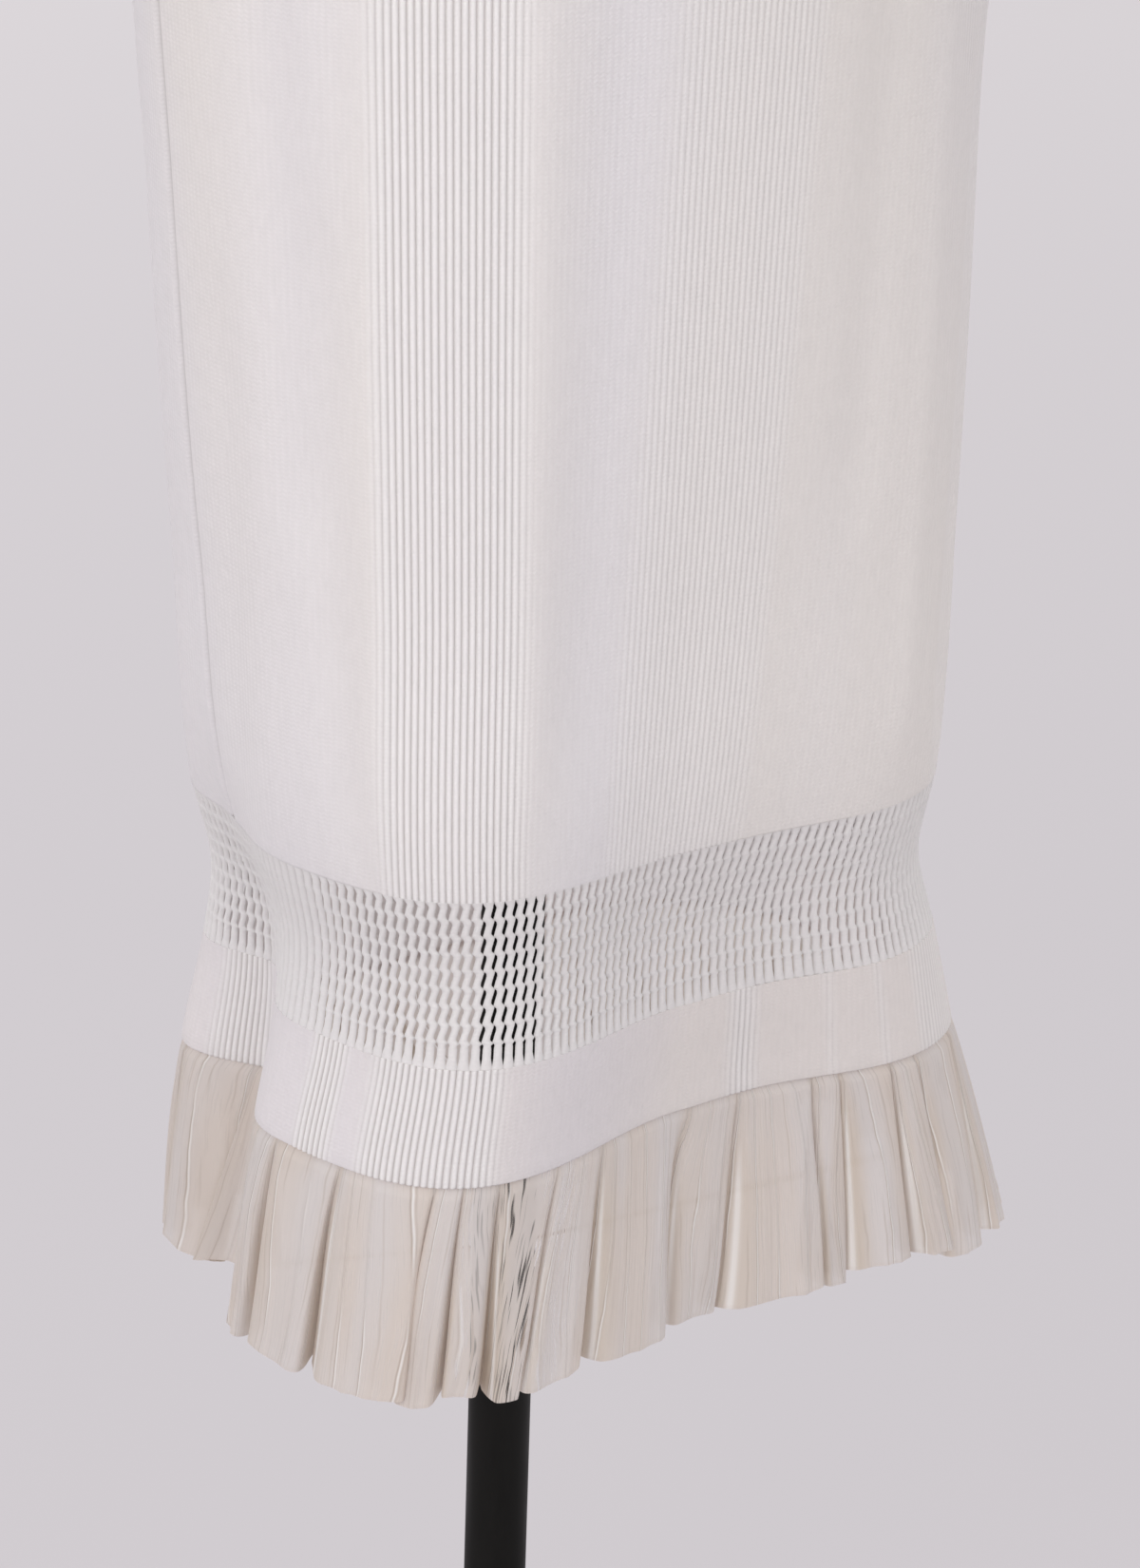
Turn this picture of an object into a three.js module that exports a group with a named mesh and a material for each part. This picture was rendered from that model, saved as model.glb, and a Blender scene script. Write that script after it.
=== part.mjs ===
// A straight midi skirt of fine ribbed knit, worn on a limbless skirt form that
// stands on a round pole and base. From the waist down the skirt is a waistband,
// a ribbed body, an openwork band, a ribbed hem band and a sheer fluted frill.
//
// Millimetres. +Z is up and the floor is z = 0. The front faces -Y and the wearer's
// left is +X. The pole stands on the Z axis.

import * as THREE from "three";

// ---------------------------------------------------------------- driving sizes

// Heights above the floor.
const WAIST = 1050;
const WAISTBAND_FOOT = 1020;
const OPENWORK_HEAD = 453;
const OPENWORK_FOOT = 384;
const BAND_HEM = 336;
const FRILL_HEM = 250;

// Walls of cloth, and the gap between pieces that meet at a seam.
const KNIT_WALL = 2;
const WAISTBAND_WALL = 3;
const WAISTBAND_PROUD = 1;
const FRILL_WALL = 1;
const SEAM_GAP = 0.3;

// Angles run in degrees from the front, 0, towards the wearer's left, 90.
const RIGHT_SEAM = -93;
const LEFT_SEAM = 87;
const FULL_TURN = 360;
const SEAM_GAP_ANGLE = 0.14;

// How finely each piece is divided, along half the girth and up its height.
const KNIT_COLUMNS = 30;
const FLUTE_COLUMNS = 6;
const BODY_ROWS = 13;
const OPENWORK_ROWS = 3;
const BAND_ROWS = 2;
const FRILL_ROWS = 4;

// The stand.
const POLE_RADIUS = 12.5;
const POLE_SIDES = 32;
const BASE_RADIUS = 150;
const BASE_THICKNESS = 9;
const BASE_EDGE = 3;
const BASE_CROWN = 3;
const BASE_CROWN_RADIUS = 24;
const BASE_SIDES = 64;
const FORM_FOOT = 740;
const FORM_COLUMNS = 48;

// A table is a list of rows under named columns.
const table = (columns, ...rows) =>
  rows.map((row) => Object.fromEntries(columns.map((name, i) => [name, row[i]])));

// The skirt's cross sections, from the waist down. Each is an oval of the given half
// width and half depth about a centre that lies toLeft of the pole and forward of it.
// squareness is 2 for an ellipse and grows as the corners fill out.
const SECTIONS = table(
  ["height", "halfWidth", "halfDepth", "toLeft", "forward", "squareness"],
  [1050, 121, 92, 0, 0, 2.05],
  [1000, 140, 106, 0, 3, 2.1],
  [930, 158, 118, 1, 8, 2.15],
  [850, 164, 121, 2, 11, 2.2],
  [700, 160, 116, 5, 15, 2.3],
  [560, 154, 109, 9, 17, 2.4],
  [453, 147, 104, 13, 15, 2.5],
  [418, 141, 101, 17, 10, 2.5],
  [384, 147, 104, 23, 4, 2.5],
  [336, 159, 106, 29, -5, 2.5],
  [250, 174, 112, 39, -8, 2.4],
);

// The large soft folds. Each is centred on an angle and dies away over its spread, both
// in degrees. The other columns are its depth at a height: inwards, or outwards if negative.
const FOLDS = table(
  ["angle", "spread", 1000, 850, 700, 560, 453, 384, 336, 250],
  [-33, 24, 0, -2, -7, -13, -20, -27, -32, -32], // full front at the wearer's right
  [7, 24, 0, 0, 4, 8, 13, 19, 22, 22], // hollow down the front
  [-96, 13, 0, 0, 1, 3, 9, 24, 33, 35], // tuck at the wearer's right seam
  [96, 15, 0, 0, 1, 4, 8, 14, 18, 20], // tuck at the wearer's left seam
  [150, 22, 0, -1, -4, -7, -10, -13, -15, -15], // full back at the wearer's left
  [-166, 24, 0, 0, 4, 6, 9, 13, 16, 18], // hollow down the back
);

// The flutes of the frill, each from its start to the next one's start. At the hem its
// rounded face stands out from the section and its edges pinch in by its depth.
const FLUTES = table(
  ["start", "out", "depth"],
  [-179, 4, 15],
  [-167, 5, 17],
  [-155, 3, 13],
  [-143, 6, 17],
  [-131, 3, 14],
  [-120, 1, 12],
  [-108, 3, 14],
  [-97, 3, 11],
  [-86, 4, 16],
  [-73, 7, 17],
  [-59, 8, 19],
  [-42.5, 5, 15],
  [-36.6, 4, 15],
  [-31.5, 3, 10],
  [-27.5, 4, 12],
  [-18, 6, 18],
  [-4.5, 2, 13],
  [1, 8, 20],
  [15.5, 3, 12],
  [20, 6, 16],
  [31.5, 8, 17],
  [38, 8, 15],
  [50, 9, 17],
  [63, 6, 14],
  [79, 6, 16],
  [90, 4, 14],
  [101, 6, 17],
  [113, 5, 13],
  [124, 7, 18],
  [136, 4, 14],
  [147, 6, 17],
  [158, 5, 14],
  [169, 6, 16],
);

// How pointed a flute's pinched edges are, and its share of depth under the seam.
const FLUTE_PINCH = 3;
const FLUTE_DEPTH_AT_SEAM = 0.12;
const FLUTE_GROWTH = 0.8;

// The form below the waistband follows the cloth's section, set in by its inset.
const FORM_PROFILE = table(
  ["height", "inset"],
  [1062, 18],
  [1060, 10],
  [1054, 5],
  [1047, 3.4],
  [1020, 3.4],
  [975, 3.4],
  [930, 3.4],
  [890, 3.6],
  [850, 4.5],
  [810, 9],
  [775, 16],
  [750, 26],
  [FORM_FOOT, 38],
);

const KNIT = { color: 0xe4e1df, roughness: 0.85, metalness: 0 };
const OPENWORK = { color: 0xdad5d1, roughness: 0.85, metalness: 0 };
const CHIFFON = { color: 0xd3c8bd, roughness: 0.7, metalness: 0 };
const LINEN = { color: 0xe3d6ca, roughness: 0.9, metalness: 0 };
const BLACK_PAINT = { color: 0x1a1918, roughness: 0.5, metalness: 0.3 };

// ------------------------------------------------------------- the skirt's shape

// A smooth curve through (heights[i], values[i]), heights rising, read at z.
function smoothly(heights, values, z) {
  const last = heights.length - 1;
  const slope = (i) => (values[i + 1] - values[i]) / (heights[i + 1] - heights[i]);
  const tangent = (i) => {
    if (i === 0) return slope(0);
    if (i === last) return slope(last - 1);
    const below = heights[i] - heights[i - 1];
    const above = heights[i + 1] - heights[i];
    return (above * slope(i - 1) + below * slope(i)) / (below + above);
  };
  let i = 0;
  while (i < last - 1 && z > heights[i + 1]) i += 1;
  const h = heights[i + 1] - heights[i];
  const s = (z - heights[i]) / h;
  return (
    (1 + 2 * s) * (1 - s) ** 2 * values[i] +
    s * (1 - s) ** 2 * h * tangent(i) +
    s ** 2 * (3 - 2 * s) * values[i + 1] +
    s ** 2 * (s - 1) * h * tangent(i + 1)
  );
}

const radians = (degrees) => (degrees * Math.PI) / 180;
const sectionHeights = SECTIONS.map((row) => row.height).reverse();

function sectionAt(z) {
  const read = (column) =>
    smoothly(sectionHeights, SECTIONS.map((row) => row[column]).reverse(), z);
  return {
    halfWidth: read("halfWidth"),
    halfDepth: read("halfDepth"),
    toLeft: read("toLeft"),
    forward: read("forward"),
    squareness: read("squareness"),
  };
}

const foldHeights = Object.keys(FOLDS[0])
  .filter((column) => Number.isFinite(Number(column)))
  .map(Number)
  .sort((a, b) => a - b);

// How far the folds push the cloth inwards.
function foldDepth(angle, z) {
  const turnFrom = (centre) =>
    THREE.MathUtils.euclideanModulo(angle - centre + FULL_TURN / 2, FULL_TURN) - FULL_TURN / 2;
  return FOLDS.reduce((sum, fold) => {
    const depth = smoothly(foldHeights, foldHeights.map((height) => fold[height]), z);
    return sum + depth * Math.exp(-((turnFrom(fold.angle) / fold.spread) ** 2));
  }, 0);
}

// A point of the section at height z, moved out by `out`.
function sectionPoint(angle, z, out) {
  const { halfWidth, halfDepth, toLeft, forward, squareness } = sectionAt(z);
  const x = Math.sin(radians(angle));
  const y = -Math.cos(radians(angle));
  const squared = (v) => Math.sign(v) * Math.abs(v) ** (2 / squareness);
  const normal = new THREE.Vector2(x / halfWidth, y / halfDepth).normalize();
  return new THREE.Vector2(
    toLeft + halfWidth * squared(x),
    -forward + halfDepth * squared(y),
  ).addScaledVector(normal, out);
}

// The outside of the cloth from the waist to the hem band.
const clothPoint = (angle, z) => sectionPoint(angle, z, -foldDepth(angle, z));

const waistbandPoint = (angle, z) =>
  sectionPoint(angle, z, WAISTBAND_PROUD - foldDepth(angle, z));

// The outside of the frill: t runs from 0 at a flute's start to 1 at its end.
function flutePoint(flute, end, t, z) {
  const angle = flute.start + (end - flute.start) * t;
  const fall = (BAND_HEM - z) / (BAND_HEM - FRILL_HEM);
  const share = FLUTE_DEPTH_AT_SEAM + (1 - FLUTE_DEPTH_AT_SEAM) * fall ** FLUTE_GROWTH;
  const pinch = Math.abs(2 * t - 1) ** FLUTE_PINCH;
  const out = share * (flute.out - flute.depth * pinch);
  return sectionPoint(angle, z, out - foldDepth(angle, z));
}

// ------------------------------------------------------------------ solid walls

const evenly = (from, to, count) =>
  Array.from({ length: count + 1 }, (_, i) => from + ((to - from) * i) / count);

// A line of points moved to its left by `distance`, square to the line.
function insetLine(line, distance, closed) {
  const last = line.length - 1;
  return line.map((point, i) => {
    const before = i > 0 ? line[i - 1] : closed ? line[last] : point;
    const after = i < last ? line[i + 1] : closed ? line[0] : point;
    const along = after.clone().sub(before).normalize();
    return new THREE.Vector2(point.x - along.y * distance, point.y + along.x * distance);
  });
}

// A closed wall of cloth. outlineAt(z) gives its outside line at a height, running
// towards the wearer's left across the front, with as many points at each height.
function wallGeometry(outlineAt, heights, thickness, closed = false) {
  const outer = heights.map(outlineAt);
  const inner = outer.map((line) => insetLine(line, thickness, closed));
  const count = outer[0].length;
  const rows = heights.length;
  const positions = [outer, inner].flatMap((rings) =>
    rings.flatMap((line, j) => line.flatMap((point) => [point.x, point.y, heights[j]])),
  );
  const out = (i, j) => j * count + (i % count);
  const inn = (i, j) => rows * count + out(i, j);
  const faces = [];
  const quad = (a, b, c, d) => faces.push(a, b, c, a, c, d);
  const steps = closed ? count : count - 1;
  for (let i = 0; i < steps; i += 1) {
    for (let j = 0; j < rows - 1; j += 1) {
      quad(out(i, j), out(i + 1, j), out(i + 1, j + 1), out(i, j + 1));
      quad(inn(i, j), inn(i, j + 1), inn(i + 1, j + 1), inn(i + 1, j));
    }
    quad(out(i, rows - 1), out(i + 1, rows - 1), inn(i + 1, rows - 1), inn(i, rows - 1));
    quad(out(i, 0), inn(i, 0), inn(i + 1, 0), out(i + 1, 0));
  }
  if (!closed) {
    for (let j = 0; j < rows - 1; j += 1) {
      quad(out(0, j), out(0, j + 1), inn(0, j + 1), inn(0, j));
      quad(out(steps, j), inn(steps, j), inn(steps, j + 1), out(steps, j + 1));
    }
  }
  return solidGeometry(positions, faces);
}

function solidGeometry(positions, faces) {
  const geometry = new THREE.BufferGeometry();
  geometry.setAttribute("position", new THREE.Float32BufferAttribute(positions, 3));
  geometry.setIndex(faces);
  geometry.computeVertexNormals();
  return geometry;
}

// A solid through rings of points at rising heights, with flat ends.
function loftGeometry(rings, heights) {
  const count = rings[0].length;
  const positions = rings.flatMap((ring, j) =>
    ring.flatMap((point) => [point.x, point.y, heights[j]]),
  );
  const foot = rings.length * count;
  const head = foot + 1;
  const centreOf = (ring) =>
    ring.reduce((sum, point) => sum.add(point), new THREE.Vector2()).divideScalar(count);
  const low = centreOf(rings[0]);
  const high = centreOf(rings[rings.length - 1]);
  positions.push(low.x, low.y, heights[0], high.x, high.y, heights[rings.length - 1]);
  const faces = [];
  for (let i = 0; i < count; i += 1) {
    const next = (i + 1) % count;
    for (let j = 0; j < rings.length - 1; j += 1) {
      const a = j * count;
      const b = a + count;
      faces.push(a + i, a + next, b + next, a + i, b + next, b + i);
    }
    const top = (rings.length - 1) * count;
    faces.push(foot, next, i, head, top + i, top + next);
  }
  return solidGeometry(positions, faces);
}

// ------------------------------------------------------------------- the pieces

const skirtOnForm = new THREE.Group();

function add(name, geometry, finish) {
  const mesh = new THREE.Mesh(geometry, new THREE.MeshStandardMaterial(finish));
  mesh.name = name;
  skirtOnForm.add(mesh);
  return mesh;
}

const HALVES = [
  { side: "front", from: RIGHT_SEAM, to: LEFT_SEAM },
  { side: "back", from: LEFT_SEAM, to: RIGHT_SEAM + FULL_TURN },
];

// The front and back of one part of the knit, between two heights.
function addKnit(part, foot, head, rows, finish) {
  const heights = evenly(foot + SEAM_GAP / 2, head - SEAM_GAP / 2, rows);
  for (const { side, from, to } of HALVES) {
    const angles = evenly(from + SEAM_GAP_ANGLE / 2, to - SEAM_GAP_ANGLE / 2, KNIT_COLUMNS);
    const outline = (z) => angles.map((angle) => clothPoint(angle, z));
    add(`${side}_${part}`, wallGeometry(outline, heights, KNIT_WALL), finish);
  }
}

function addWaistband() {
  const angles = evenly(RIGHT_SEAM, RIGHT_SEAM + FULL_TURN, 2 * KNIT_COLUMNS).slice(0, -1);
  const outline = (z) => angles.map((angle) => waistbandPoint(angle, z));
  const heights = [WAISTBAND_FOOT + SEAM_GAP / 2, (WAISTBAND_FOOT + WAIST) / 2, WAIST];
  add("waistband", wallGeometry(outline, heights, WAISTBAND_WALL, true), KNIT);
}

// The frill is joined under the two side seams, at the nearest pinches between flutes.
function addFrill() {
  const first = (seam) =>
    FLUTES.reduce((best, flute, i) =>
      Math.abs(flute.start - seam) < Math.abs(FLUTES[best].start - seam) ? i : best, 0);
  const right = first(RIGHT_SEAM);
  const left = first(LEFT_SEAM);
  const runs = [
    { side: "front", flutes: FLUTES.slice(right, left) },
    { side: "back", flutes: [...FLUTES.slice(left), ...FLUTES.slice(0, right)] },
  ];
  const heights = evenly(FRILL_HEM, BAND_HEM - SEAM_GAP / 2, FRILL_ROWS);
  const endOf = (flute) => {
    const next = FLUTES[(FLUTES.indexOf(flute) + 1) % FLUTES.length].start;
    return next > flute.start ? next : next + FULL_TURN;
  };
  for (const { side, flutes } of runs) {
    const outline = (z) =>
      flutes.flatMap((flute, k) => {
        const end = endOf(flute);
        const gap = SEAM_GAP_ANGLE / (end - flute.start);
        const steps = evenly(k === 0 ? gap : 0, 1, FLUTE_COLUMNS);
        if (k < flutes.length - 1) steps.pop();
        else steps[FLUTE_COLUMNS] = 1 - gap;
        return steps.map((t) => flutePoint(flute, end, t, z));
      });
    add(`${side}_frill`, wallGeometry(outline, heights, FRILL_WALL), CHIFFON);
  }
}

// The skirt form: smooth and whole, with a flat top and a flat foot.
function addForm() {
  const angles = evenly(0, FULL_TURN, FORM_COLUMNS).slice(0, -1);
  const profile = [...FORM_PROFILE].reverse();
  const rings = profile.map(({ height, inset }) =>
    angles.map((angle) => sectionPoint(angle, Math.min(height, WAIST), -inset)),
  );
  add("skirt_form", loftGeometry(rings, profile.map((row) => row.height)), LINEN);
}

function addPole() {
  const foot = BASE_THICKNESS + BASE_CROWN + SEAM_GAP;
  const head = FORM_FOOT - SEAM_GAP;
  const geometry = new THREE.CylinderGeometry(POLE_RADIUS, POLE_RADIUS, head - foot, POLE_SIDES);
  geometry.rotateX(Math.PI / 2);
  const pole = add("pole", geometry, BLACK_PAINT);
  pole.position.z = (head + foot) / 2;
}

// The base: a flat round plate with an eased edge and a low boss under the pole.
function addBase() {
  const profile = [
    [0, 0],
    [BASE_RADIUS - BASE_EDGE / 2, 0],
    [BASE_RADIUS, BASE_EDGE / 2],
    [BASE_RADIUS, BASE_THICKNESS - BASE_EDGE],
    [BASE_RADIUS - BASE_EDGE, BASE_THICKNESS],
    [BASE_CROWN_RADIUS, BASE_THICKNESS],
    [BASE_CROWN_RADIUS - BASE_CROWN, BASE_THICKNESS + BASE_CROWN],
    [0, BASE_THICKNESS + BASE_CROWN],
  ].map(([radius, height]) => new THREE.Vector2(radius, height));
  const geometry = new THREE.LatheGeometry(profile, BASE_SIDES);
  geometry.rotateX(Math.PI / 2);
  add("base", geometry, BLACK_PAINT);
}

addWaistband();
addKnit("body", OPENWORK_HEAD, WAISTBAND_FOOT, BODY_ROWS, KNIT);
addKnit("openwork", OPENWORK_FOOT, OPENWORK_HEAD, OPENWORK_ROWS, OPENWORK);
addKnit("hem_band", BAND_HEM, OPENWORK_FOOT, BAND_ROWS, KNIT);
addFrill();
addForm();
addPole();
addBase();

export default skirtOnForm;
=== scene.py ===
"""Looks of the straight skirt: fine rib knit, an openwork band, a hem band and a fluted
chiffon frill, worn on a limbless skirt form with a black pole and base.

Shapes are worked out in millimetres and made in metres. Angles run in degrees from the
front, 0, towards the wearer's left, 90.
"""

import math

import bpy
import numpy as np
from mathutils import Matrix, Vector


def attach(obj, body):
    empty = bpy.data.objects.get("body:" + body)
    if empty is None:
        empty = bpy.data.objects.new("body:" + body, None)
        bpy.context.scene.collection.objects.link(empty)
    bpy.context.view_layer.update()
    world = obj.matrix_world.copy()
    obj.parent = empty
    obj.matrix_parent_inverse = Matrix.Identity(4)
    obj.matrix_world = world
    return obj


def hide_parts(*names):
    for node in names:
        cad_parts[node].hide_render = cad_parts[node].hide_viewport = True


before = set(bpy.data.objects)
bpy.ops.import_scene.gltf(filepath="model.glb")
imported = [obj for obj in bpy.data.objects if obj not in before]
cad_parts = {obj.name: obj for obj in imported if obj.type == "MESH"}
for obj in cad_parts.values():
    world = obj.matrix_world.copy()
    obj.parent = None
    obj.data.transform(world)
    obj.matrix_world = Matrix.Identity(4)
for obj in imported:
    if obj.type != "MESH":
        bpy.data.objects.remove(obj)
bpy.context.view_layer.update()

MM = 0.001
FULL_TURN = 360.0


def table(*rows):
    return np.array(rows, float)


# ---- the skirt's sizes

WAIST = 1050.0
WAISTBAND_FOOT = 1020.0
OPENWORK_HEAD = 453.0
OPENWORK_FOOT = 384.0
BAND_HEM = 336.0
FRILL_HEM = 250.0

RIGHT_SEAM = -93.0
LEFT_SEAM = 87.0
JOIN_GAP = 0.04  # between the parts of the knit, which run on into each other
SEAM_GAP = 0.3
SEAM_GAP_ANGLE = 0.14

# height, half width, half depth, to left, forward, squareness
SECTIONS = table(
    (1050, 121, 92, 0, 0, 2.05),
    (1000, 140, 106, 0, 3, 2.1),
    (930, 158, 118, 1, 8, 2.15),
    (850, 164, 121, 2, 11, 2.2),
    (700, 160, 116, 5, 15, 2.3),
    (560, 154, 109, 9, 17, 2.4),
    (453, 147, 104, 13, 15, 2.5),
    (418, 141, 101, 17, 10, 2.5),
    (384, 147, 104, 23, 4, 2.5),
    (336, 159, 106, 29, -5, 2.5),
    (250, 174, 112, 39, -8, 2.4),
)[::-1]

# The large soft folds: angle, spread, then the depth inwards at each of FOLD_HEIGHTS.
FOLD_HEIGHTS = table(1000, 850, 700, 560, 453, 384, 336, 250)
FOLDS = table(
    (-33, 24, 0, -2, -7, -13, -20, -27, -32, -32),
    (7, 24, 0, 0, 4, 8, 13, 19, 22, 22),
    (-96, 13, 0, 0, 1, 3, 9, 24, 33, 35),
    (96, 15, 0, 0, 1, 4, 8, 14, 18, 20),
    (150, 22, 0, -1, -4, -7, -10, -13, -15, -15),
    (-166, 24, 0, 0, 4, 6, 9, 13, 16, 18),
)

# The frill's flutes: start, out, depth, lean towards the wearer's left.
FLUTES = table(
    (-179, 4, 15, 0.2), (-167, 5, 17, -0.25), (-155, 3, 13, 0.1), (-143, 6, 17, 0.3),
    (-131, 3, 14, -0.15), (-120, 1, 12, 0.2), (-108, 3, 14, -0.2), (-97, 3, 11, 0),
    (-86, 4, 16, -0.1), (-73, 7, 17, 0.15), (-59, 8, 19, 0.3), (-42.5, 5, 15, -0.3),
    (-36.6, 4, 15, -0.2), (-31.5, 3, 10, 0.3), (-27.5, 4, 12, 0.2), (-18, 6, 18, 0.3),
    (-4.5, 2, 13, 0.35), (1, 8, 20, 0.3), (15.5, 3, 12, 0.3), (20, 6, 16, 0.2),
    (31.5, 8, 17, 0.25), (38, 8, 15, -0.2), (50, 9, 17, 0.2), (63, 6, 14, -0.2),
    (79, 6, 16, 0.15), (90, 4, 14, 0.1), (101, 6, 17, -0.3), (113, 5, 13, 0.2),
    (124, 7, 18, 0.25), (136, 4, 14, -0.15), (147, 6, 17, 0.2), (158, 5, 14, -0.25),
    (169, 6, 16, 0.15),
)
FLUTE_PINCH = 11.0
FLUTE_DEPTH_AT_SEAM = 0.06
FLUTE_GROWTH = 1.05

# The skirt form: height, inset from the cloth's section.
FORM_PROFILE = table(
    (740, 38), (750, 26), (775, 16), (810, 9), (850, 4.5), (890, 3.6), (930, 3.4),
    (975, 3.4), (1020, 3.4), (1047, 3.4), (1054, 5), (1060, 10), (1062, 18),
)

# ---- the knit's texture

RIBS = 170  # across each of the front and the back
RIB_COLUMNS = 4
RIB_DEPTH = 0.8
RIB_ROUNDNESS = 0.5
STITCH = 1.7
BODY_WALL = 1.3

# Where the ribs stand out, with painted highlight on their crowns and painted shade in their
# grooves: angle at the top, angle at the bottom, half width, strength.
BODY_RIB_ZONES = [
    (-36.5, -36.5, 11.5, 1.0),
    (9, -3, 9.5, 0.62),
    (62, 58, 9, 0.45),
    (128, 132, 15, 0.9),
    (183, 186, 12, 0.6),
    (222, 218, 10, 0.8),
]
BAND_RIB_ZONES = [
    (-60.5, -60.5, 4, 1.3),
    (-40, -40, 10.5, 1.15),
    (8, 7.5, 2.5, 0.9),
    (23, 23, 1.5, 0.6),
    (33.5, 33.5, 1.2, 0.7),
    (52, 52, 10, 0.7),
    (130, 132, 15, 0.8),
    (183, 186, 12, 0.5),
    (222, 218, 10, 0.7),
    (258, 257, 6, 1.0),
]
RIB_ZONE_EDGE = 2.2
QUIET_RIBS = 0.26

# Soft troughs (depth over 0) and ridges: angle at the top, angle at the foot, spread,
# top, foot, depth.
CREASES = [
    (-66, -63, 5.5, 860, 610, 3.8),
    (-57, -55, 4.5, 680, 470, 2.6),
    (-80, -84, 5.0, 640, 470, 1.9),
    (-48, -49, 3.0, 900, 460, -1.4),
    (-23, -24, 3.5, 880, 500, -1.3),
    (-12, -16, 6.0, 800, 520, 2.4),
    (26, 22, 5.0, 860, 600, 2.1),
    (38, 36, 4.0, 760, 470, -1.6),
    (58, 55, 6.5, 720, 465, 2.9),
    (112, 116, 5.0, 820, 560, 3.0),
    (128, 131, 4.0, 700, 470, 2.1),
    (171, 168, 6.0, 880, 590, 3.4),
    (205, 208, 5.0, 740, 480, -1.8),
    (219, 222, 5.5, 830, 520, 2.7),
    (246, 243, 4.5, 690, 470, 2.2),
]
CREASE_FADE = 45.0

SEAM_ROLL = 1.9
SEAM_ROLL_WIDTH = 2.2
# Width of the painted shade line along the side seams.
SEAM_SHADE_WIDTH = 1.0
EDGE_EASE = 0.55
EDGE_EASE_REACH = 0.7
EDGE_ROWS = (0.5, 1.2)  # of points, from the foot and the top
SHARP_ANGLE = math.radians(78)  # between faces that meet in a crisp edge
FINE_STEPS = 1600  # along a panel, to measure its length by
FLAT_TOPPED = 4  # power of a bell curve

# ---- the cloth's surface


def smoothly(heights, values, z):
    """A smooth curve through the rows of values at rising heights, read at each z."""
    slope = np.diff(values, axis=0) / np.diff(heights)[:, None]
    tangent = np.empty_like(values)
    tangent[0], tangent[-1] = slope[0], slope[-1]
    below, above = np.diff(heights)[:-1, None], np.diff(heights)[1:, None]
    tangent[1:-1] = (above * slope[:-1] + below * slope[1:]) / (below + above)
    i = np.clip(np.searchsorted(heights, z, side="left") - 1, 0, len(heights) - 2)
    h = (heights[i + 1] - heights[i])[:, None]
    s = (z - heights[i])[:, None] / h
    return (
        (1 + 2 * s) * (1 - s) ** 2 * values[i]
        + s * (1 - s) ** 2 * h * tangent[i]
        + s * s * (3 - 2 * s) * values[i + 1]
        + s * s * (s - 1) * h * tangent[i + 1]
    )


def softly(share):
    """Share, kept from 0 to 1, with a soft start and end."""
    share = np.clip(share, 0, 1)
    return share * share * (3 - 2 * share)


def bell(away, power=2):
    """1 where away is 0, falling to nearly 0 beyond 2. A power over 2 gives it a flat top."""
    return np.exp(-(away**power))


def turn_from(angle, centre):
    """How far angle lies from centre, from -180 to 180."""
    return (angle - centre + FULL_TURN / 2) % FULL_TURN - FULL_TURN / 2


def fold_depth(angle, z):
    """How far the folds push the cloth inwards: angle has a row for each z."""
    depths = smoothly(FOLD_HEIGHTS[::-1], FOLDS[:, :1:-1].T, z)
    total = np.zeros_like(angle)
    for k, fold in enumerate(FOLDS):
        total += depths[:, k, None] * bell(turn_from(angle, fold[0]) / fold[1])
    return total


def section(angle, z, out):
    """Points of the section at each height z, moved out: angle has a row for each z."""
    half_width, half_depth, left, forward, square = (
        column[:, None] for column in smoothly(SECTIONS[:, 0], SECTIONS[:, 1:], z).T
    )
    x, y = np.sin(np.radians(angle)), -np.cos(np.radians(angle))
    nx, ny = x / half_width, y / half_depth
    size = np.hypot(nx, ny)
    sx = np.sign(x) * np.abs(x) ** (2 / square)
    sy = np.sign(y) * np.abs(y) ** (2 / square)
    x = left + half_width * sx + nx / size * out
    y = -forward + half_depth * sy + ny / size * out
    return np.stack([x, y], axis=-1)


def cloth(angle, z):
    """The outside of the cloth from the waist to the hem band."""
    return section(angle, z, -fold_depth(angle, z))


def outward(line, ring=False):
    """Unit vectors square to each row of points, out of the skirt."""
    if ring:
        along = np.roll(line, -1, axis=1) - np.roll(line, 1, axis=1)
    else:
        along = np.gradient(line, axis=1)
    return unit(np.stack([along[..., 1], -along[..., 0]], axis=-1))


def unit(v):
    return v / np.linalg.norm(v, axis=-1, keepdims=True)


def measured(start, end, z):
    """The cloth from start to end at each z: angles, points, and the length so far."""
    angles = np.linspace(start, end, FINE_STEPS)
    points = cloth(np.broadcast_to(angles, (len(z), FINE_STEPS)), z)
    steps = np.linalg.norm(np.diff(points, axis=1), axis=-1)
    length = np.concatenate([np.zeros((len(z), 1)), np.cumsum(steps, axis=1)], axis=1)
    return angles, points, length


def even_angles(start, end, z, shares):
    """The angles at shares of the cloth's own length from start to end, at each z, and
    that length."""
    fine, _, length = measured(start, end, z)
    angles = [np.interp(shares * run[-1], run, fine) for run in length]
    return np.array(angles), length[:, -1]


def window(z, foot, top, fade):
    """1 between foot and top, falling softly to 0 over fade beyond them."""
    return softly(np.minimum(z - foot + fade, top + fade - z) / fade)


def crease_depth(angle, z):
    """How far the creases push the cloth inwards, fading out above the openwork."""
    total = np.zeros_like(angle)
    for at_top, at_foot, spread, top, foot, depth in CREASES:
        fall = np.clip((top - z) / (top - foot), 0, 1)
        centre = (at_top + (at_foot - at_top) * fall)[:, None]
        near = bell(turn_from(angle, centre) / spread)
        total += depth * window(z, foot, top, CREASE_FADE)[:, None] * near
    return total * softly((z - OPENWORK_HEAD) / CREASE_FADE)[:, None]


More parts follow.
